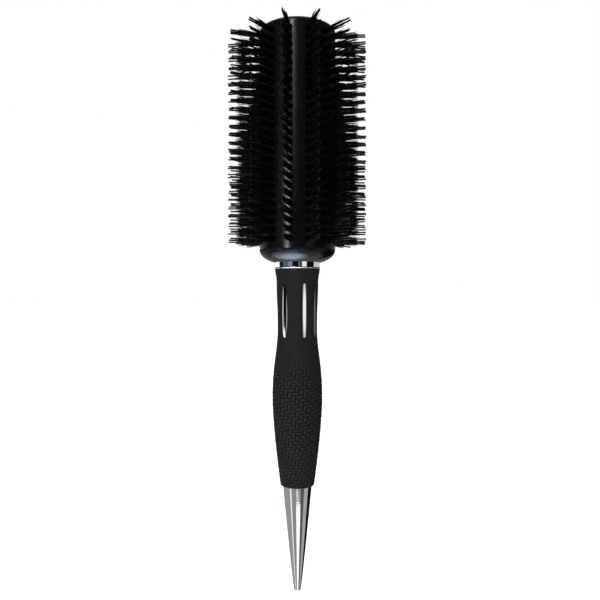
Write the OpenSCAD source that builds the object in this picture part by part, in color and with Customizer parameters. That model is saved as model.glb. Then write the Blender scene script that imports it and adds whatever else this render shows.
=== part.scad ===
// Large round barrel brush: a hollow painted barrel set with tufts of boar hair and nylon quills,
// on a chromed handle with a slotted rubber grip and a pointed sectioning tail.
// +Z runs along the brush from the tail's tip, at z = 0, to the barrel's domed top. Millimetres.

/* [Barrel] */
// Bare diameter of the barrel
barrel_d = 38; // [36:1:40]
// Length of the straight barrel between the two rims
barrel_len = 106.4; // [106:0.2:112]
// Height of the top dome
dome_h = 4.4; // [3.6:0.2:8]
// Height of the lower dome, if it ran on to its pole
shoulder_dome_h = 8.6; // [8.2:0.2:10]
// Height of the lower dome as cut flat, where it meets the collar
shoulder_h = 7.4; // [7:0.1:7.8]
// Depth of the shallow groove at each rim
seam = 0.1; // [0.1:0.05:0.4]
// Thickness of the barrel's wall
barrel_wall = 7.5; // [7:0.5:9]
// How far each domed end plugs into the barrel
spigot_len = 11; // [9:1:13]

/* [Tufts] */
// Number of rows of tufts round the barrel
row_count = 13; // [10:1:14]
// Number of tufts in each row
tuft_count = 25; // [10:1:25]
// Spacing of the tufts along a row
tuft_pitch = 4.15; // [4:0.05:4.15]
// Angle of the first row, from the front (-Y) towards +X
first_row_angle = -11.2; // [-20:0.1:20]
// Depth of a tuft's hole in the barrel
hole_depth = 6; // [5.5:0.1:6.5]
// Diameter over the boar hair
boar_d = 60; // [56:1:62]
// Diameter over the nylon quills
nylon_d = 70.4; // [66:0.2:76]
// Diameter of one nylon quill
quill_d = 0.6; // [0.4:0.05:0.6]
// Width of a boar tuft at its root
boar_root_d = 1.2; // [1:0.1:1.4]
// Width of a boar tuft at its tip
boar_tip_d = 2.8; // [2.4:0.1:3.6]

/* [Handle] */
// Height of the tail, which is also where the grip starts
tail_h = 53; // [47:0.5:55]
// Height of the grip's top
grip_top_z = 161; // [158:1:164]
// Diameter of the grip at its top edge
grip_lip_d = 22.4; // [21.2:0.2:22.8]
// Diameter of the grip just under its flared top
grip_neck_d = 20.8; // [20.2:0.1:21]
// Diameter of the grip's waist
grip_waist_d = 19.7; // [19.4:0.1:20]
// Diameter of the grip's belly
grip_belly_d = 25.1; // [22:0.1:27]
// Diameter of the grip above its rounded lower end
grip_end_d = 17.2; // [17:0.1:18]
// Height of the belly's widest place
belly_z = 95.5; // [90:0.5:100]
// Height of the waist's narrowest place
waist_z = 131; // [126:0.5:136]
// Diameter of the chromed core under the grip's belly
core_d = 16; // [15:0.5:16.5]
// Diameter of the chromed core behind the slots
core_slot_d = 17; // [16.5:0.5:17.5]
// Diameter over the core's chromed pads, which fill the slots
pad_d = 19; // [18.2:0.2:19.2]
// Diameter of the steel tang that joins the handle to the barrel
tang_d = 6; // [5:0.5:8]
// Height of the chromed collar between the grip and the barrel
collar_h = 3.2; // [2.5:0.1:4]

/* [Slots] */
// Angle of the front half's left slot, from the front (-Y) towards +X
slot_left_angle = -40.5; // [-49.5:1.5:-36]
// Angle of the front half's middle slot
slot_middle_angle = 21; // [12:1.5:24]
// Angle of the front half's right slot
slot_right_angle = 66; // [57:1.5:72]
// Length of a slot
slot_len = 26.6; // [16:0.2:28]
// Width of a slot at its middle
slot_w = 3.4; // [2:0.1:3.5]
// Height of the slots' middle
slot_z = 140.3; // [138:0.1:142]

/* [Tail] */
// Diameter of the tail where it leaves the grip
tail_d = 14.4; // [13:0.2:15]
// Diameter of the tail's tip
tip_d = 3; // [2.4:0.2:5]

/* [Hidden] */
$fn = 96;

// Points in each curved stretch of an outline, the turn between two points of a round corner
// or dome, and how far a cut runs on past the face that it opens
steps = 10;
corner_turn = 15;
dome_turn = 6;
over = 1;

// The collar's top is where the barrel's lower dome is cut flat.
collar_top_z = grip_top_z + collar_h;
// The collar's lower rim is rolled over.
rim_r = 0.4;
rim_out = 0.15;

barrel_r = barrel_d / 2;
barrel_bore_r = barrel_r - barrel_wall;
barrel_base_z = collar_top_z + shoulder_h;
barrel_top_z = barrel_base_z + barrel_len;

// The flat wire that holds a tuft's fold down in its hole
anchor_t = 0.8;
anchor_w = 1.2;
anchor_gap = 0.1;
hole_floor_r = barrel_r - hole_depth;
tuft_root_r = hole_floor_r + anchor_t + anchor_gap;

// The quills stand one on each side of the boar hair and lean out along its flank.
row_step = 360 / row_count;
first_tuft_z = barrel_base_z + (barrel_len - (tuft_count - 1) * tuft_pitch) / 2;
boar_len = boar_d / 2 - tuft_root_r;
flank_angle = atan((boar_tip_d - boar_root_d) / 2 / boar_len);
quill_gap = 0.03;
quill_root_x = boar_root_d / 2 + quill_d / 2 + quill_gap;
quill_len = (nylon_d / 2 - tuft_root_r) / cos(flank_angle);

// A hole is just wide enough for the two quills at its mouth.
hole_gap = 0.04;
quill_mouth_x = quill_root_x + (barrel_r - tuft_root_r) * tan(flank_angle);
hole_d = 2 * (quill_mouth_x + quill_d / 2 + hole_gap);
anchor_len = hole_d - 0.2;

// The tang runs from inside the grip's core to just under the top dome.
tang_r = tang_d / 2;
tang_base_z = 100;
tang_top_z = barrel_top_z - 2;

// The core is wider behind the slots, where the rubber is thin. It ends in a neck that
// reaches into the barrel's lower end, and the tail's stud goes up into its foot.
neck_r = 5.9;
neck_top_z = collar_top_z + 4;
core_r = core_d / 2;
core_slot_r = core_slot_d / 2;
core_base_z = tail_h + 4;
core_step_z = slot_z - slot_len / 2 - 3;
head_r = 6.8;
stud_r = 2.9;
stud_top_z = core_base_z + 18;

// The pads stand free of the rubber by a small gap.
pad_gap = 0.1;
slot_power = 0.6;
slot_turn = 7.5;

grip_corner = 1.4;
grip_corner_z = tail_h + grip_corner;
grip_flare_h = 7;
tip_round = 1.2;

// From a to b as t goes from 0 to 1, starting slower than it ends
ease_power = 1.3;
function ease(a, b, t) = a + (b - a) * (1 - cos(180 * pow(t, ease_power))) / 2;
function row_angle(i) = first_row_angle + i * row_step;
function numbered(prefix, i) = str(prefix, i < 9 ? "0" : "", i + 1);

// A stretch of grip outline from (z0, r0) up to (z1, r1), flat at both ends
function eased_stretch(z0, r0, z1, r1) =
    [for (k = [0 : steps - 1]) [ease(r0, r1, k / steps), z0 + (z1 - z0) * k / steps]];

// The belly falls away below its widest place by a power of the distance.
belly_drop = (grip_belly_d - grip_end_d) / 2;
belly_reach = belly_z - grip_corner_z;
belly_power = 1.44;
function belly_r(z) =
    grip_belly_d / 2 - belly_drop * pow((belly_z - z) / belly_reach, belly_power);

// The grip's top flares out to the collar's diameter.
flare_base_z = grip_top_z - grip_flare_h;

grip_outline = concat(
    [[head_r, tail_h]],
    [for (a = [0 : corner_turn : 90 - corner_turn])
        [grip_end_d / 2 - grip_corner * (1 - sin(a)), grip_corner_z - grip_corner * cos(a)]],
    [for (k = [0 : steps - 1])
        let (z = grip_corner_z + belly_reach * k / steps) [belly_r(z), z]],
    eased_stretch(belly_z, grip_belly_d / 2, waist_z, grip_waist_d / 2),
    eased_stretch(waist_z, grip_waist_d / 2, flare_base_z, grip_neck_d / 2),
    eased_stretch(flare_base_z, grip_neck_d / 2, grip_top_z, grip_lip_d / 2),
    [[grip_lip_d / 2, grip_top_z], [core_slot_r, grip_top_z], [core_slot_r, core_step_z], [core_r, core_step_z],
     [core_r, core_base_z], [head_r, core_base_z]]);

rim_outline = concat(
    [[neck_r, grip_top_z]],
    [for (a = [-90 : corner_turn : 90])
        [grip_lip_d / 2 + rim_out - rim_r * (1 - cos(a)), grip_top_z + rim_r * (1 + sin(a))]],
    [[neck_r, grip_top_z + 2 * rim_r]]);

// The tail narrows a little faster near its tip, which is rounded over.
tail_power = 0.88;
function tail_r(z) = tip_d / 2 + (tail_d - tip_d) / 2 * pow(z / tail_h, tail_power);
tail_outline = concat(
    [for (a = [0 : corner_turn : 90 - corner_turn])
        [tail_r(tip_round) * sin(a), tip_round * (1 - cos(a))]],
    [for (k = [0 : 4 * steps])
        let (z = tip_round + (tail_h - tip_round) * k / (4 * steps)) [tail_r(z), z]],
    [[head_r, tail_h], [head_r, core_base_z], [stud_r, core_base_z],
     [stud_r, stud_top_z], [0, stud_top_z]]);

// A quarter of a squarish ellipse of the barrel's radius, rising from z = 0 to a height h,
// with the groove at its rim
dome_power = 2.4;
function dome_outline(h) = concat(
    [[0, 0], [barrel_r - seam, 0]],
    [for (a = [dome_turn : dome_turn : 90 - dome_turn])
        [barrel_r * pow(cos(a), 2 / dome_power), h * pow(sin(a), 2 / dome_power)]],
    [[0, h]]);

// A rod on the brush's axis from one height to another
module rod(r, z0, z1) translate([0, 0, z0]) cylinder(r = r, h = z1 - z0);

// Turns its children's +Z out along a row, at each of the row's tufts.
module at_row(i)
    rotate([0, 0, row_angle(i)])
        for (k = [0 : tuft_count - 1])
            translate([0, 0, first_tuft_z + k * tuft_pitch])
                rotate([90, 0, 0])
                    children();

module barrel_core() color("#2b3034") difference() {
    rod(barrel_r, barrel_base_z, barrel_top_z);
    rod(barrel_bore_r, barrel_base_z - over, barrel_top_z + over);
    for (i = [0 : row_count - 1])
        at_row(i) rod(hole_d / 2, hole_floor_r, barrel_r + over);
}

module barrel_top_cap() color("#2b3034") difference() {
    union() {
        translate([0, 0, barrel_top_z]) rotate_extrude() polygon(dome_outline(dome_h));
        rod(barrel_bore_r, barrel_top_z - spigot_len, barrel_top_z);
    }
    rod(tang_r, barrel_top_z - spigot_len - over, tang_top_z);
}

module barrel_shoulder() color("#2b3034") difference() {
    union() {
        translate([0, 0, barrel_base_z]) mirror([0, 0, 1])
            rotate_extrude() polygon(dome_outline(shoulder_dome_h));
        rod(barrel_bore_r, barrel_base_z, barrel_base_z + spigot_len);
    }
    rod(barrel_r, collar_top_z - shoulder_dome_h, collar_top_z);
    rod(neck_r, collar_top_z - over, neck_top_z);
    rod(tang_r, collar_top_z - over, barrel_base_z + spigot_len + over);
}

module steel_tang() color("#8f9499") rod(tang_r, tang_base_z, tang_top_z);

module tuft_anchors() color("#b9bcc0")
    for (i = [0 : row_count - 1])
        at_row(i) translate([-anchor_len / 2, -anchor_w / 2, hole_floor_r])
            cube([anchor_len, anchor_w, anchor_t]);

// A lens with blunt ends, smaller than a slot by the gap all round
module slot_outline(gap)
    polygon([for (a = [0 : slot_turn : 360 - slot_turn])
        [(slot_w / 2 - gap) * sign(cos(a)) * pow(abs(cos(a)), slot_power),
         (slot_len / 2 - gap) * sin(a)]]);

// The back half repeats the slots of the front half, half a turn on.
module all_slots(gap)
    for (half = [0, 180], angle = [slot_left_angle, slot_middle_angle, slot_right_angle])
        rotate([0, 0, half + angle])
            translate([0, 0, slot_z]) rotate([90, 0, 0])
                translate([0, 0, core_r / 2]) linear_extrude(height = grip_belly_d / 2) slot_outline(gap);

module handle_core() color("#d4d8dc") difference() {
    union() {
        rod(core_r, core_base_z, core_step_z);
        rod(core_slot_r, core_step_z, grip_top_z);
        rod(neck_r, grip_top_z, neck_top_z);
        intersection() {
            rod(pad_d / 2, core_step_z, grip_top_z);
            all_slots(pad_gap);
        }
    }
    rod(tang_r, tang_base_z, neck_top_z + over);
    rod(stud_r, core_base_z - over, stud_top_z);
}

module collar_ring() color("#dfe3e6") difference() {
    union() {
        rod(grip_lip_d / 2, grip_top_z, collar_top_z);
        rotate_extrude() polygon(rim_outline);
    }
    rod(neck_r, grip_top_z - over, collar_top_z + over);
}

module rubber_grip() color("#25292d") difference() {
    rotate_extrude() polygon(grip_outline);
    all_slots(0);
}

module tail_pick() color("#cfd4d8") rotate_extrude() polygon(tail_outline);

module boar_row(i) color("#1c1a19")
    at_row(i) translate([0, 0, tuft_root_r])
        cylinder(d1 = boar_root_d, d2 = boar_tip_d, h = boar_len, $fn = 32);

module nylon_row(i) color("#0f1012")
    at_row(i)
        for (side = [-1, 1])
            translate([side * quill_root_x, 0, tuft_root_r])
                rotate([0, side * flank_angle, 0]) cylinder(d = quill_d, h = quill_len, $fn = 16);

barrel_core();
barrel_top_cap();
barrel_shoulder();
steel_tang();
tuft_anchors();
handle_core();
collar_ring();
rubber_grip();
tail_pick();
for (i = [0 : row_count - 1]) {
    boar_row(i);
    nylon_row(i);
}
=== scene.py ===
"""Looks for the round barrel brush: bristles, woven rubber grip, chrome, paint, studio and camera.

Lengths are in metres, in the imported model's frame: +Z from the tail's tip to the barrel's top,
-Y to the front. mm turns a length in millimetres into metres.
"""

import math

import bpy
import numpy as np
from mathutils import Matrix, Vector


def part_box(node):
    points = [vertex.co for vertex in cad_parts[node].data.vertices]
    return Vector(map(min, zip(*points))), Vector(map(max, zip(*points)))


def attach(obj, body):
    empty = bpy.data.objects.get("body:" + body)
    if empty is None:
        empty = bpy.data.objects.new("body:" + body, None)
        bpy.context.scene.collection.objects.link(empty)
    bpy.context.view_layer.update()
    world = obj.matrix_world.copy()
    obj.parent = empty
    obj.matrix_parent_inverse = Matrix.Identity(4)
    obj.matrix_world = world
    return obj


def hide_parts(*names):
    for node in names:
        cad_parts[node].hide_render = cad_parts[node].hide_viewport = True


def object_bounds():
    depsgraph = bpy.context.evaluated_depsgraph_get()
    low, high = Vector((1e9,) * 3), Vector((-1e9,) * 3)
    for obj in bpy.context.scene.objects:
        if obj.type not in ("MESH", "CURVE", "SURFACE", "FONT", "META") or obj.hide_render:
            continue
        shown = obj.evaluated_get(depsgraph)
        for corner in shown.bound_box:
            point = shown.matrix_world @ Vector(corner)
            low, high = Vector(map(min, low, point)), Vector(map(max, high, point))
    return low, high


mm = 0.001

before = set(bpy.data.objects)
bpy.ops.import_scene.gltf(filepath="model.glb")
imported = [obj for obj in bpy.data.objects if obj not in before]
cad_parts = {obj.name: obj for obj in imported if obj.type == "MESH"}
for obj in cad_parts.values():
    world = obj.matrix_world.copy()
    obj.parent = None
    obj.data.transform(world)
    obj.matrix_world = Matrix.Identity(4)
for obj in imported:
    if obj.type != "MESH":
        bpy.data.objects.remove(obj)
cad_lo, cad_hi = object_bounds()


# ---------------------------------------------------------------- places taken from the frame

def node_centre_angle(node):
    """Direction of a row, in radians from the front (-Y) towards +X, from its vertices' mean."""
    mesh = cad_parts[node].data
    co = np.empty(len(mesh.vertices) * 3)
    mesh.vertices.foreach_get("co", co)
    x, y, _ = co.reshape(-1, 3).mean(axis=0)
    return math.atan2(x, -y)


BOAR_NODES = sorted(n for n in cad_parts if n.startswith("boar_row_"))
NYLON_NODES = sorted(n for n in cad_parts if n.startswith("nylon_row_"))
ROW_ANGLES = [node_centre_angle(n) for n in BOAR_NODES]

BARREL_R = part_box("barrel_core")[1].x
BRISTLE_R = cad_hi.x
grip_lo, grip_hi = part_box("rubber_grip")
CORE_FOOT_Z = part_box("handle_core")[0].z

TUFTS = 25
TUFT_TIP_R = 1.4 * mm  # of the CAD cones; the outer rims of the end tips are the ends of a row's box
row_lo, row_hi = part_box(BOAR_NODES[0])
TUFT_Z = np.linspace(row_lo.z + TUFT_TIP_R, row_hi.z - TUFT_TIP_R, TUFTS)


# ---------------------------------------------------------------- materials

WEAVE_NAME = "weave_height"  # the grip's vertices carry the height of its weave under this name; the rubber's painted shade follows it
NOISE_RANGE = (0.3, 0.7)  # most of a noise's values lie in it


def new_material(name, colour, roughness, metallic=0.0, specular=0.5):
    """A material with its node tree and its shader."""
    mat = bpy.data.materials.new(name)
    mat.use_nodes = True
    shader = mat.node_tree.nodes["Principled BSDF"]
    shader.inputs["Base Color"].default_value = (*colour, 1)
    shader.inputs["Roughness"].default_value = roughness
    shader.inputs["Metallic"].default_value = metallic
    shader.inputs["Specular IOR Level"].default_value = specular
    return mat, mat.node_tree, shader


def noise(tree, scale, detail=2.0):
    """Noise in object coordinates, so that it stays with the piece."""
    place = tree.nodes.new("ShaderNodeTexCoord")
    texture = tree.nodes.new("ShaderNodeTexNoise")
    texture.inputs["Scale"].default_value = scale
    texture.inputs["Detail"].default_value = detail
    tree.links.new(place.outputs["Object"], texture.inputs["Vector"])
    return texture.outputs["Fac"]


def maths(tree, kind, *values):
    """One step of arithmetic on numbers and sockets."""
    node = tree.nodes.new("ShaderNodeMath")
    node.operation = kind
    for socket, value in zip(node.inputs, values):
        if isinstance(value, (int, float)):
            socket.default_value = value
        else:
            tree.links.new(value, socket)
    return node.outputs["Value"]


def vary(tree, fac, target, low, high):
    """Drives a number input between low and high, from a noise."""
    spread = tree.nodes.new("ShaderNodeMapRange")
    spread.inputs["From Min"].default_value = NOISE_RANGE[0]
    spread.inputs["From Max"].default_value = NOISE_RANGE[1]
    spread.inputs["To Min"].default_value = low
    spread.inputs["To Max"].default_value = high
    tree.links.new(fac, spread.inputs["Value"])
    tree.links.new(spread.outputs["Result"], target)


def tint(tree, fac, target, dark, light):
    """Drives a colour input between two colours."""
    mix = tree.nodes.new("ShaderNodeMix")
    mix.data_type = "RGBA"
    mix.inputs["A"].default_value = (*dark, 1)
    mix.inputs["B"].default_value = (*light, 1)
    tree.links.new(fac, mix.inputs["Factor"])
    tree.links.new(mix.outputs["Result"], target)


def bump(tree, fac, shader, height, strength):
    """Adds a relief too fine for the mesh."""
    node = tree.nodes.new("ShaderNodeBump")
    node.inputs["Distance"].default_value = height
    node.inputs["Strength"].default_value = strength
    tree.links.new(fac, node.inputs["Height"])
    tree.links.new(node.outputs["Normal"], shader.inputs["Normal"])


def barrel_paint():
    """Satin gunmetal paint with a fine flake."""
    mat, tree, shader = new_material("satin_gunmetal", (0.035, 0.04, 0.047), 0.3, metallic=0.85)
    flake = noise(tree, 2600)
    tint(tree, flake, shader.inputs["Base Color"], (0.008, 0.0095, 0.012), (0.019, 0.022, 0.027))
    vary(tree, noise(tree, 90), shader.inputs["Roughness"], 0.18, 0.24)
    bump(tree, flake, shader, 0.01 * mm, 0.3)
    return mat


def chrome():
    """Bright plating with the faintest haze."""
    mat, tree, shader = new_material("chrome_plate", (0.80, 0.81, 0.83), 0.04, metallic=1.0)
    vary(tree, noise(tree, 160, 4), shader.inputs["Roughness"], 0.03, 0.07)
    return mat


def drawn_steel():
    """The bright tang."""
    mat, tree, shader = new_material("drawn_steel", (0.48, 0.48, 0.49), 0.3, metallic=1.0)
    vary(tree, noise(tree, 400), shader.inputs["Roughness"], 0.24, 0.36)
    return mat


def anchor_wire():
    """The flattened wires that hold the tufts."""
    mat, tree, shader = new_material("anchor_wire", (0.6, 0.6, 0.62), 0.35, metallic=1.0)
    vary(tree, noise(tree, 700), shader.inputs["Roughness"], 0.3, 0.42)
    return mat


def grip_rubber():
    """Matt soft-touch rubber, with shade painted by the height of its weave: grey on the crowns and
    near black in the grooves.
    """
    mat, tree, shader = new_material("soft_touch_rubber", (0.012, 0.014, 0.017), 0.6, specular=0.05)
    weave = tree.nodes.new("ShaderNodeAttribute")
    weave.attribute_name = WEAVE_NAME
    # Painted shade: the rubber's colour follows its weave's height and is darkest in the grooves, with
    # random patches mixed in
    shade_patches = maths(tree, "MULTIPLY", noise(tree, 220, 4), 0.3)
    height = maths(tree, "ADD", weave.outputs["Fac"], shade_patches)
    painted_shade_fac = maths(tree, "POWER", height, 1.35)
    tint(tree, painted_shade_fac, shader.inputs["Base Color"], (0.0010, 0.0011, 0.0016), (0.0192, 0.0213, 0.0280))
    vary(tree, noise(tree, 500), shader.inputs["Roughness"], 0.52, 0.66)
    bump(tree, noise(tree, 5200), shader, 0.01 * mm, 0.35)
    return mat


def hair_materials():
    """Three shades of boar hair; each hair takes one of them."""
    shades = {"boar_black": (0.0010, 0.0010, 0.0016), "boar_brown": (0.0024, 0.0020, 0.0020),
              "boar_grey": (0.011, 0.011, 0.012)}
    return [new_material(n, c, 0.34, specular=0.07)[0] for n, c in shades.items()]


def quill_materials():
    """Two shades of nylon; each quill takes one of them."""
    shades = {"quill_black": (0.002, 0.002, 0.003), "quill_smoke": (0.004, 0.004, 0.006)}
    return [new_material(n, c, 0.28, specular=0.2)[0] for n, c in shades.items()]


def dress(node, mat):
    """Gives a CAD node a better material."""
    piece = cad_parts[node]
    if not piece.material_slots:
        piece.data.materials.append(mat)
    for slot in piece.material_slots:
        slot.material = mat


PAINT = barrel_paint()
CHROME = chrome()
RUBBER = grip_rubber()
HAIR_MATERIALS = hair_materials()
QUILL_MATERIALS = quill_materials()
for node in ("barrel_core", "barrel_top_cap", "barrel_shoulder"):
    dress(node, PAINT)
for node in ("handle_core", "collar_ring", "tail_pick"):
    dress(node, CHROME)
dress("steel_tang", drawn_steel())
dress("tuft_anchors", anchor_wire())


# ---------------------------------------------------------------- mesh helpers

def add_mesh(name, verts, faces, materials, slots=None, smooth=True):
    """A new object; slots gives each face's material."""
    mesh = bpy.data.meshes.new(name)
    mesh.from_pydata([tuple(v) for v in verts], [], faces)
    for mat in materials:
        mesh.materials.append(mat)
    if slots is not None:
        mesh.polygons.foreach_set("material_index", slots)
    if smooth:
        mesh.polygons.foreach_set("use_smooth", [True] * len(mesh.polygons))
    mesh.update()
    piece = bpy.data.objects.new(name, mesh)
    bpy.context.scene.collection.objects.link(piece)
    return piece


def strands(name, centres, radii, sides, materials, shades):
    """One mesh of closed tapering tubes. centres is (strands, rings, 3) and radii is (rings,)."""
    count, rings, _ = centres.shape
    along = centres[:, -1] - centres[:, 0]
    along /= np.linalg.norm(along, axis=1, keepdims=True)
    across = np.cross(along, (0.0, 0.0, 1.0))
    across /= np.linalg.norm(across, axis=1, keepdims=True)
    other = np.cross(along, across)
    turn = np.arange(sides) * 2 * math.pi / sides
    ring = (across[:, None, :] * np.cos(turn)[None, :, None]
            + other[:, None, :] * np.sin(turn)[None, :, None])
    verts = centres[:, :, None, :] + ring[:, None, :, :] * radii[None, :, None, None]
    verts = verts.reshape(-1, 3)
    faces = []
    for s in range(count):
        base = s * rings * sides
        for k in range(rings - 1):
            low = base + k * sides
            for j in range(sides):
                nxt = (j + 1) % sides
                faces.append((low + j, low + nxt, low + sides + nxt, low + sides + j))
        faces.append(tuple(base + j for j in reversed(range(sides))))
        faces.append(tuple(base + (rings - 1) * sides + j for j in range(sides)))
    per_strand = len(faces) // count
    return add_mesh(name, verts, faces, materials, np.repeat(shades, per_strand))


# ---------------------------------------------------------------- bristles

HOLE_FLOOR_R = BARREL_R - 5.1 * mm
PIVOT_R = BARREL_R - 0.8 * mm  # a tuft leans about this radius
# How far the tufts at the barrel's ends lean up (degrees): on the sides, and more of it in front
END_LEAN = {TUFTS - 1: (-4.0, 12.0), TUFTS - 2: (-1.0, 4.0), 0: (-2.0, 0.0)}

# A strand has four rings: at its hole's floor, at the hole's mouth, part of the way out and at its tip
HAIRS = 52
HAIR_SEED = 100  # of the first row; each further row's is one higher
HAIR_SIDES = 3
HAIR_R = np.array([0.12, 0.13, 0.12, 0.06]) * mm
HAIR_REACH = 31.4 * mm
HAIR_RAGGED = 2.3 * mm  # the shortest hair ends this far inside the longest
HAIR_RAGGED_POWER = 1.4
HAIR_BEND_AT = 0.55  # of the way from the mouth to the tip
HAIR_ROOT = 0.55 * mm  # half of a tuft's width along the brush: here at the floor,
HAIR_MOUTH = 1.1 * mm  # here at the mouth
HAIR_TIP = 1.95 * mm  # and here at the tips
HAIR_NARROW = 0.7  # a tuft's width across the row over its width along it
HAIR_WANDER = 0.16 * mm
HAIR_WANDER_SHARE = np.array([0, 0, 0.35, 1.0])  # by ring
HAIR_TILT = 0.8  # degrees, from tuft to tuft
HAIR_SHARES = [0.62, 0.28, 0.10]  # of the three shades

QUILL_SEED = 500
QUILL_SIDES = 6
QUILL_R = np.array([0.34, 0.40, 0.40, 0.34]) * mm
QUILL_END = 0.35 * mm  # length of the tapered end
QUILL_SHORTER = 0.35 * mm
QUILL_OFFSET = 0.55 * mm  # from the middle of the tuft
QUILL_UNEVEN = 0.2  # of that offset, along the brush
QUILL_WANDER = 0.2 * mm
QUILL_WANDER_SHARE = np.array([0, 0, 1, 1])  # by ring
QUILL_TILT = 1.0  # degrees, from tuft to tuft
THIRD_QUILL = 0.3  # share of the tufts that have three quills
QUILL_SHARES = [0.7, 0.3]  # of the two shades


def row_frame(angle):
    """Directions out of a row, across it and along the brush."""
    out = np.array((math.sin(angle), -math.cos(angle), 0.0))
    side = np.array((math.cos(angle), math.sin(angle), 0.0))
    return out, side, np.array((0.0, 0.0, 1.0))


def lean(k, angle):
    """How far the tuft of number k leans up, in degrees."""
    side, front = END_LEAN.get(k, (0.0, 0.0))
    return side + front * math.cos(angle) ** 2


def tuft_points(angle, z, splay, reach, across, rise):
    """Centres of the rings of one tuft's strands: reach, across and rise are (strands, rings)."""
    out, side, up = row_frame(angle)
    rise = rise + np.maximum(reach - PIVOT_R, 0) * math.tan(math.radians(splay))
    return (reach[..., None] * out + across[..., None] * side
            + (rise + z)[..., None] * up)


def boar_row(index):
    """All the hairs of one row, in one mesh."""
    rng = np.random.RandomState(HAIR_SEED + index)
    spreads = np.array([HAIR_ROOT, HAIR_MOUTH, (HAIR_MOUTH + HAIR_TIP) / 2, HAIR_TIP])
    groups = []
    for k, z in enumerate(TUFT_Z):
        turn = rng.uniform(0, 2 * math.pi, HAIRS)
        from_middle = np.sqrt(rng.uniform(0, 1, HAIRS))
        tip = HAIR_REACH - HAIR_RAGGED * rng.uniform(0, 1, HAIRS) ** HAIR_RAGGED_POWER
        reach = np.stack([np.full(HAIRS, HOLE_FLOOR_R), np.full(HAIRS, BARREL_R),
                          BARREL_R + (tip - BARREL_R) * HAIR_BEND_AT, tip], axis=1)
        wander = rng.normal(0, HAIR_WANDER, (HAIRS, 2, 1)) * HAIR_WANDER_SHARE
        across = (from_middle * np.cos(turn))[:, None] * spreads * HAIR_NARROW + wander[:, 0]
        rise = (from_middle * np.sin(turn))[:, None] * spreads + wander[:, 1]
        splay = lean(k, ROW_ANGLES[index]) + rng.normal(0, HAIR_TILT)
        groups.append(tuft_points(ROW_ANGLES[index], z, splay, reach, across, rise))
    centres = np.concatenate(groups)
    shades = rng.choice(len(HAIR_SHARES), len(centres), p=HAIR_SHARES)
    name = BOAR_NODES[index].replace("row", "bristles")
    return strands(name, centres, HAIR_R, HAIR_SIDES, HAIR_MATERIALS, shades)


def nylon_row(index):
    """All the quills of one row, in one mesh."""
    rng = np.random.RandomState(QUILL_SEED + index)
    groups = []
    for k, z in enumerate(TUFT_Z):
        count = 3 if rng.uniform() < THIRD_QUILL else 2
        places = np.array([-1.0, 1.0, 0.0])[:count] * rng.choice([-1, 1])
        places = places + rng.normal(0, QUILL_UNEVEN, count)
        sides = rng.uniform(-1, 1, count)
        tip = BRISTLE_R - np.abs(rng.normal(0, QUILL_SHORTER, count))
        reach = np.stack([np.full(count, HOLE_FLOOR_R), np.full(count, BARREL_R),
                          tip - QUILL_END, tip], axis=1)
        wander = rng.normal(0, QUILL_WANDER, (2, count, 1)) * QUILL_WANDER_SHARE
        across = sides[:, None] * QUILL_OFFSET + wander[0]
        rise = places[:, None] * QUILL_OFFSET + wander[1]
        splay = lean(k, ROW_ANGLES[index]) + rng.normal(0, QUILL_TILT)
        groups.append(tuft_points(ROW_ANGLES[index], z, splay, reach, across, rise))
    centres = np.concatenate(groups)
    shades = rng.choice(len(QUILL_SHARES), len(centres), p=QUILL_SHARES)
    name = NYLON_NODES[index].replace("row", "quills")
    return strands(name, centres, QUILL_R, QUILL_SIDES, QUILL_MATERIALS, shades)


for i in range(len(BOAR_NODES)):
    hairs = boar_row(i)
    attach(hairs, "root")
    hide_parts(BOAR_NODES[i])
    quills = nylon_row(i)
    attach(quills, "root")
    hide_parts(NYLON_NODES[i])


# ---------------------------------------------------------------- rubber grip

# Slots, by column of the grip's mesh: the first one's angle and the columns from each slot to the next
COLUMN_STEP = math.radians(1.5)
FIRST_SLOT = math.radians(-40.5)
SECTORS = (41, 30, 49, 41, 30, 49)
SLOT_Z = 140.3 * mm
SLOT_HALF_LEN = 13.3 * mm
SLOT_HALF_W = 1.7 * mm
SLOT_POWER = 0.6
SLOT_RIM = 0.25 * mm
SLOT_STEPS = 36

# A 2/2 twill of tows pressed into the rubber, which fades out below the slots
TOW_H = 1.5 * mm
TOW_COLUMNS = 6
TOW_ROWS = 5
WEAVE_DEPTH = 0.26 * mm
WEAVE_FADE_Z = (98 * mm, 124 * mm)
WEAVE_END_H = 2 * mm
TOW_DIP = 0.4  # height of a tow where it dives under the next, over its full height
SMOOTH_PAINTED_SHADE = 0.55  # the painted-shade value of the smooth rubber, as on a weave of this height

CORNER = 1.4 * mm  # radius of the bottom edge
CORNER_TURNS = np.radians([0, 15, 30, 45, 60, 75])  # the rings that round it off
RIM_TURNS = np.radians([30, 60, 90])  # the loops that round off the rim of a slot
FELT_STEP = 0.25 * mm
FELT_REACH = 8  # steps on either side that the felt outline is smoothed over
LIP_GAP = 0.01 * mm  # the outline is felt up to this far below the top edge
PLAIN_BELOW = 5  # rings between the weave and the slots
PLAIN_ABOVE = 11  # rings between the slots and the top edge
STEP_BELOW = 3 * mm  # from the slots down to the step in the core
NARROW_ABOVE = 10 * mm  # a height above the grip's foot where the core is narrow
FOOT_WALL = 0.2 * mm  # width of the flat underside


def smoothstep(a, b, value):
    """0 up to a, 1 from b and smooth in between."""
    t = np.clip((value - a) / (b - a), 0, 1)
    return t * t * (3 - 2 * t)


def felt_radius(node, angle, heights):
    """Outer radius of a CAD node at each height, felt from outside along one direction."""
    out = Vector((math.sin(angle), -math.cos(angle), 0))
    far = 2 * cad_hi.x
    radii = []
    for z in heights:
        _, place, _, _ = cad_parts[node].ray_cast(out * far + Vector((0, 0, z)), -out)
        radii.append(math.hypot(place.x, place.y))
    return np.array(radii)


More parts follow.
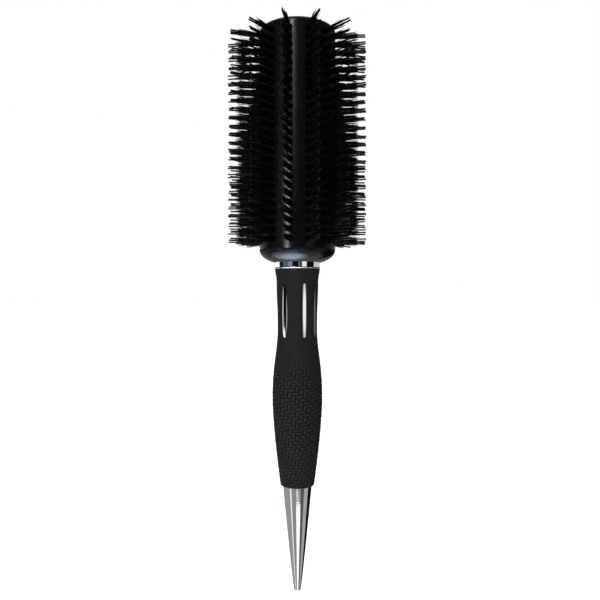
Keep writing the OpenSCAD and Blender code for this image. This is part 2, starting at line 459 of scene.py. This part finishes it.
def smoothed(values, reach):
    """A running mean that keeps the ends and their slopes."""
    left = 2 * values[0] - values[reach:0:-1]
    right = 2 * values[-1] - values[-2:-reach - 2:-1]
    window = np.hanning(2 * reach + 1)
    return np.convolve(np.concatenate([left, values, right]), window / window.sum(), "valid")


def weave_height(u, v):
    """Height of a 2/2 twill, 0 to 1, at u tows round and v tows up."""
    i, j = math.floor(u), math.floor(v)
    fu, fv = u - i, v - j
    place = (i + j) % 4
    across, along = (fu, (place + fv) / 2) if place < 2 else (fv, (place - 2 + fu) / 2)
    crest = TOW_DIP + (1 - TOW_DIP) * math.sin(math.pi * along)
    return (1 - (2 * across - 1) ** 2) * crest


def slot_edge(t):
    """Half-width, height from the middle and outward normal of a slot's edge, t from -1 to 1."""
    if abs(t) == 1:
        return 0.0, SLOT_HALF_LEN * t, 0.0, t
    c, s = math.cos(t * math.pi / 2), math.sin(t * math.pi / 2)
    nx, nz = SLOT_HALF_LEN * c, SLOT_HALF_W * SLOT_POWER * c ** (SLOT_POWER - 1) * s
    size = math.hypot(nx, nz)
    return SLOT_HALF_W * c ** SLOT_POWER, SLOT_HALF_LEN * s, nx / size, nz / size


class Ring:
    """One ring of vertices round the grip, open at each slot if the slots have a half-width there.

    The list it is given takes each vertex's weave height, which sets the rubber's painted shade.
    """

    def __init__(self, verts, painted_shade_facs, z, r, half=0.0, woven=False):
        self.first = len(verts)
        self.starts = []
        column = 0
        for span in SECTORS:
            self.starts.append(len(verts) - self.first)
            cut = math.asin(half / r)
            start = FIRST_SLOT + column * COLUMN_STEP + cut
            step = (span * COLUMN_STEP - 2 * cut) / span
            for j in range(span + 1 if half else span):
                inset, painted_shade_fac = 0.0, SMOOTH_PAINTED_SHADE
                if woven:
                    fade = 1 - smoothstep(*WEAVE_FADE_Z, z)
                    fade *= smoothstep(grip_lo.z, grip_lo.z + WEAVE_END_H, z)
                    height = weave_height((column + j) / TOW_COLUMNS, (z - grip_lo.z) / TOW_H)
                    inset = WEAVE_DEPTH * fade * (1 - height)
                    # Painted shade: the value follows the weave's height and is low in its grooves
                    painted_shade_fac += fade * (height - SMOOTH_PAINTED_SHADE)
                angle = start + step * j
                painted_shade_facs.append(painted_shade_fac)
                verts.append(((r - inset) * math.sin(angle), -(r - inset) * math.cos(angle), z))
            column += span
        self.size = len(verts) - self.first

    def at(self, sector, j):
        """The vertex of column j counted from the slot of number sector."""
        return self.first + (self.starts[sector % len(SECTORS)] + j) % self.size


def join(faces, low, high):
    """Faces between two rings, sector by sector, so that the slots stay open."""
    for sector, span in enumerate(SECTORS):
        for j in range(span):
            faces.append((low.at(sector, j), low.at(sector, j + 1),
                          high.at(sector, j + 1), high.at(sector, j)))


def rubber_grip():
    """The sleeve as one closed mesh: outside, inside and the walls of its slots."""
    between_slots = FIRST_SLOT + SECTORS[0] * COLUMN_STEP / 2
    corner_z = grip_lo.z + CORNER
    heights = np.arange(corner_z, grip_hi.z - LIP_GAP, FELT_STEP)
    radii = smoothed(felt_radius("rubber_grip", between_slots, heights), FELT_REACH)

    def outer_r(z):
        return float(np.interp(z, heights, radii))

    # Outside, from the bottom up
    edge = [slot_edge(-1 + 2 * k / SLOT_STEPS) for k in range(SLOT_STEPS + 1)]
    rims = [(SLOT_Z + h + SLOT_RIM * nz, w + SLOT_RIM * nx) for w, h, nx, nz in edge]
    foot = [(grip_lo.z + CORNER * (1 - math.cos(a)), radii[0] - CORNER * (1 - math.sin(a)))
            for a in CORNER_TURNS]
    lower = np.arange(corner_z, WEAVE_FADE_Z[1], TOW_H / TOW_ROWS)
    middle = np.linspace(lower[-1], rims[0][0], PLAIN_BELOW + 1)[1:]
    upper = np.linspace(rims[-1][0], grip_hi.z, PLAIN_ABOVE + 1)[1:]
    verts, painted_shade_facs, faces = [], [], []
    outside = [Ring(verts, painted_shade_facs, z, r) for z, r in foot]
    outside += [Ring(verts, painted_shade_facs, z, outer_r(z), woven=True) for z in [*lower, *middle]]
    slot_row = len(outside) - 1
    outside += [Ring(verts, painted_shade_facs, z, outer_r(z), half) for z, half in rims[1:-1]]
    outside += [Ring(verts, painted_shade_facs, z, outer_r(z)) for z in [rims[-1][0], *upper]]

    # Inside, from the top down, on the chromed core
    wide_r = felt_radius("handle_core", between_slots, [SLOT_Z])[0]
    narrow_r = felt_radius("handle_core", between_slots, [grip_lo.z + NARROW_ABOVE])[0]
    slot_lo_z, slot_hi_z = SLOT_Z - SLOT_HALF_LEN, SLOT_Z + SLOT_HALF_LEN
    step_z = slot_lo_z - STEP_BELOW
    foot_r = foot[0][1] - FOOT_WALL
    inside = [Ring(verts, painted_shade_facs, z, wide_r) for z in (grip_hi.z, slot_hi_z)]
    inside += [Ring(verts, painted_shade_facs, SLOT_Z + h, wide_r, w) for w, h, _, _ in edge[-2:0:-1]]
    inside += [Ring(verts, painted_shade_facs, z, r) for z, r in [
        (slot_lo_z, wide_r), (step_z, wide_r), (step_z, narrow_r),
        (CORE_FOOT_Z, narrow_r), (CORE_FOOT_Z, foot_r), (grip_lo.z, foot_r)]]
    rings = outside + inside
    for low, high in zip(rings, rings[1:] + rings[:1]):
        join(faces, low, high)

    # Slot walls, each a set of loops: three round the rim, then straight in to the core
    around = [(1, e) for e in edge] + [(-1, e) for e in edge[-2:0:-1]]
    column = 0
    for sector, span in enumerate(SECTORS):
        out, side, _ = row_frame(FIRST_SLOT + column * COLUMN_STEP)
        column += span

        def edge_loop(ring_of_step):
            """The vertices of the grip's own rings along the slot, in the order of `around`."""
            right = [ring_of_step(k).at(sector, 0) for k in range(SLOT_STEPS + 1)]
            left = [ring_of_step(k).at(sector - 1, SECTORS[sector - 1])
                    for k in range(SLOT_STEPS - 1, 0, -1)]
            return right + left

        loops = [edge_loop(lambda k: outside[slot_row + k])]
        for turn in RIM_TURNS:
            loop = []
            for sign, (w, h, nx, nz) in around:
                back = SLOT_RIM * (1 - math.sin(turn))
                lateral, z = w + back * nx, SLOT_Z + h + back * nz
                reach = math.sqrt(outer_r(z) ** 2 - lateral ** 2) - SLOT_RIM * (1 - math.cos(turn))
                x, y, _ = reach * out + sign * lateral * side
                verts.append((x, y, z))
                # The slot's rim takes the smooth rubber's painted-shade value
                painted_shade_facs.append(SMOOTH_PAINTED_SHADE)
                loop.append(len(verts) - 1)
            loops.append(loop)
        loops.append(edge_loop(lambda k: inside[1 + SLOT_STEPS - k]))
        for low, high in zip(loops, loops[1:]):
            for m in range(len(low)):
                n = (m + 1) % len(low)
                faces.append((low[n], low[m], high[m], high[n]))
    piece = add_mesh("grip_sleeve", verts, faces, [RUBBER])
    # The per-vertex values that paint the rubber's shade
    piece.data.attributes.new(WEAVE_NAME, "FLOAT", "POINT").data.foreach_set("value", painted_shade_facs)
    return piece


sleeve = rubber_grip()
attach(sleeve, "root")
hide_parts("rubber_grip")
# The shoulder mirrors the lit ground, not the handle
sleeve.visible_glossy = False
for node in ("collar_ring", "handle_core", "tail_pick", "steel_tang"):
    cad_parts[node].visible_glossy = False


# ---------------------------------------------------------------- studio

def ramp(tree, fac, bands):
    """A colour ramp over -180 to 180 degrees of azimuth, from (start, colour) bands with soft edges."""
    node = tree.nodes.new("ShaderNodeValToRGB")
    stops = node.color_ramp
    angles, colours = [], []
    for k, (start, colour) in enumerate(bands):
        end = bands[k + 1][0] if k + 1 < len(bands) else 180
        angles += [start + BAND_EDGE, end - BAND_EDGE]
        colours += [colour, colour]
    while len(stops.elements) < len(angles):
        stops.elements.new(0.5)
    # The stops sort themselves by position, so all the positions are set before any colour
    for stop, angle in zip(stops.elements, angles):
        stop.position = (angle + 180) / 360
    for stop, colour in zip(stops.elements, colours):
        stop.color = (*colour, 1)
    tree.links.new(fac, node.inputs["Fac"])
    return node.outputs["Color"]


def blend_colours(tree, fac, a, b):
    """The colour a where fac is 0 and b where it is 1; each is a colour or a socket."""
    mix = tree.nodes.new("ShaderNodeMix")
    mix.data_type = "RGBA"
    tree.links.new(fac, mix.inputs["Factor"])
    for socket, value in (("A", a), ("B", b)):
        if isinstance(value, tuple):
            mix.inputs[socket].default_value = (*value, 1)
        else:
            tree.links.new(value, mix.inputs[socket])
    return mix.outputs["Result"]


BLACK = (0.004, 0.004, 0.005)
NAVY = (0.03, 0.038, 0.055)
SLATE = (0.10, 0.12, 0.16)
GREY = (0.30, 0.32, 0.34)
WHITE = (1.35, 1.35, 1.35)
BACKDROP = (1.0, 1.0, 1.0)  # what the camera itself sees of the sky

# What the chrome mirrors: colours by azimuth (degrees from the front), from each start onwards
GROUND_BANDS = [(-180, (2.9, 3.2, 3.7)), (0, (0.9, 1.05, 1.2))]
TAIL_BANDS = [(-180, (0.34, 0.35, 0.35)), (-64, (1.1, 1.15, 1.2)), (-52, (0.27, 0.30, 0.34)),
              (-11, WHITE), (28, (0.10, 0.11, 0.10)), (58, (0.42, 0.44, 0.42)),
              (98, (0.006, 0.008, 0.008)), (158, (0.3, 0.3, 0.3))]
TAIL_TOP_BANDS = [(start, GREY if colour == WHITE else colour) for start, colour in TAIL_BANDS]
SLOT_BANDS = [(-180, (0.05, 0.05, 0.06)), (-112, (0.82, 0.84, 0.86)), (-93.5, BLACK),
              (-70, (0.48, 0.50, 0.53)), (-58, NAVY), (0, BLACK), (122, (0.16, 0.17, 0.18)),
              (140, BLACK)]
COLLAR_BANDS = [(-180, WHITE), (-105, BLACK), (-80, SLATE), (-49, (0.24, 0.27, 0.33)),
                (-28, SLATE), (-23, BLACK), (5, (0.15, 0.155, 0.13)), (16, BLACK),
                (24, (0.95, 1.0, 0.96)), (48, BLACK), (93, (0.66, 0.65, 0.70))]
BAND_EDGE = 1.0  # degrees, on either side of a start, over which one band turns into the next
UPPER = (0.06, 0.063, 0.07)
OVERHEAD = (0.35, 0.35, 0.36)

# The layers above the ground, each with the elevations (degrees) between which it takes over
LAYERS = [(TAIL_BANDS, -47, -42), (TAIL_TOP_BANDS, -27.8, -27.4), (SLOT_BANDS, -12, -10),
          (COLLAR_BANDS, 1.9, 2.3), (UPPER, 3.8, 5.2), (OVERHEAD, 18, 40)]

# Elliptical soft lights: azimuth and elevation of the middle, half-width and half-height, colour
SOFT_LIGHTS = [
    (-18, 34, 6, 8, (34.0, 31.0, 27.0)),  # on the domed top
    (-15, 25, 4, 12.5, (31.0, 28.5, 26.0)),  # on the bare strip between the front rows, high up
    (-31, 9.6, 7, 4.9, (52.0, 50.5, 47.0)),  # between the tufts of the front row, low down
    (43.5, -0.9, 14, 3.4, (1.05, 1.08, 1.08)),  # in the slot right of the middle
    (-89, -3.0, 16, 0.9, WHITE),  # at the foot of the left slot
    (-1, -26.8, 9, 0.45, WHITE),  # on the tail, just under the grip
]
# The glow on the ground that the shoulder mirrors: x and y of its direction, its half-sizes, colour
GROUND_GLOW = (-0.12, 0.12, 0.42, 0.55, (10.2, 11.9, 13.5))
LIGHT_CORE = 0.4  # a light has its full colour out to this share of its size


def studio():
    """The sky: the bands and lights that the brush mirrors, and a plain white for the camera."""
    world = bpy.data.worlds.new("studio")
    bpy.context.scene.world = world
    world.use_nodes = True
    tree = world.node_tree
    background = tree.nodes["Background"]
    place = tree.nodes.new("ShaderNodeTexCoord")
    split = tree.nodes.new("ShaderNodeSeparateXYZ")
    tree.links.new(place.outputs["Generated"], split.inputs["Vector"])
    x, y, z = split.outputs
    azimuth = maths(tree, "ARCTAN2", x, maths(tree, "MULTIPLY", y, -1.0))
    turn = maths(tree, "ADD", maths(tree, "DIVIDE", azimuth, 2 * math.pi), 0.5)
    elevation = maths(tree, "ARCSINE", z)

    def between(value, start, end):
        """0 at start, 1 at end and smooth in between."""
        node = tree.nodes.new("ShaderNodeMapRange")
        node.interpolation_type = "SMOOTHSTEP"
        node.inputs["From Min"].default_value = start
        node.inputs["From Max"].default_value = end
        tree.links.new(value, node.inputs["Value"])
        return node.outputs["Result"]

    def add_glow(colour, across, up, middle, height, half_w, half_h, light):
        """Blends in one elliptical light."""
        squares = []
        for value, centre, half in ((across, middle, half_w), (up, height, half_h)):
            ratio = maths(tree, "DIVIDE", maths(tree, "SUBTRACT", value, centre), half)
            squares.append(maths(tree, "MULTIPLY", ratio, ratio))
        spread = maths(tree, "SQRT", maths(tree, "ADD", *squares))
        return blend_colours(tree, between(spread, 1.0, LIGHT_CORE), colour, light)

    colour = add_glow(ramp(tree, turn, GROUND_BANDS), x, y, *GROUND_GLOW)
    for layer, start, end in LAYERS:
        above = layer if isinstance(layer, tuple) else ramp(tree, turn, layer)
        rise = between(elevation, math.radians(start), math.radians(end))
        colour = blend_colours(tree, rise, colour, above)
    for *shape, light in SOFT_LIGHTS:
        colour = add_glow(colour, azimuth, elevation, *(math.radians(a) for a in shape), light)
    path = tree.nodes.new("ShaderNodeLightPath")
    colour = blend_colours(tree, path.outputs["Is Camera Ray"], colour, BACKDROP)
    tree.links.new(colour, background.inputs["Color"])


FLOOR_Z = cad_lo.z - 300 * mm  # far below, because the brush hangs free in the photo
FLOOR_R = 80000 * mm
FLOOR_SIDES = 64
FLOOR_GLOW = 0.8


def floor():
    """A pale disc that reaches past the camera's view, and that the brush doesn't mirror."""
    mat, _, shader = new_material("pale_floor", (0.93, 0.93, 0.93), 0.9, specular=0.0)
    shader.inputs["Emission Color"].default_value = (1, 1, 1, 1)
    shader.inputs["Emission Strength"].default_value = FLOOR_GLOW
    turn = np.linspace(0, 2 * math.pi, FLOOR_SIDES, endpoint=False)
    verts = [(FLOOR_R * math.cos(t), FLOOR_R * math.sin(t), FLOOR_Z) for t in turn]
    piece = add_mesh("floor", verts, [tuple(range(len(verts)))], [mat], smooth=False)
    piece.visible_glossy = False


CAMERA_DISTANCE = 340 * mm
CAMERA_Z = 145.5 * mm
CAMERA_X = 1.3 * mm
SENSOR = 36  # width, in millimetres
LENS = 40.8  # in millimetres
NEAREST = 10 * mm  # that the camera sees
FARTHEST = 50000 * mm  # that it sees


def camera():
    """About level with the middle of the brush, looking along +Y."""
    data = bpy.data.cameras.new("camera")
    data.sensor_width = SENSOR
    data.lens = LENS
    data.clip_start = NEAREST
    data.clip_end = FARTHEST
    cam = bpy.data.objects.new("camera", data)
    bpy.context.scene.collection.objects.link(cam)
    cam.location = (CAMERA_X, -CAMERA_DISTANCE, CAMERA_Z)
    cam.rotation_euler = (math.pi / 2, 0, 0)
    bpy.context.scene.camera = cam


studio()
floor()
camera()
bpy.context.scene.view_settings.view_transform = "Standard"
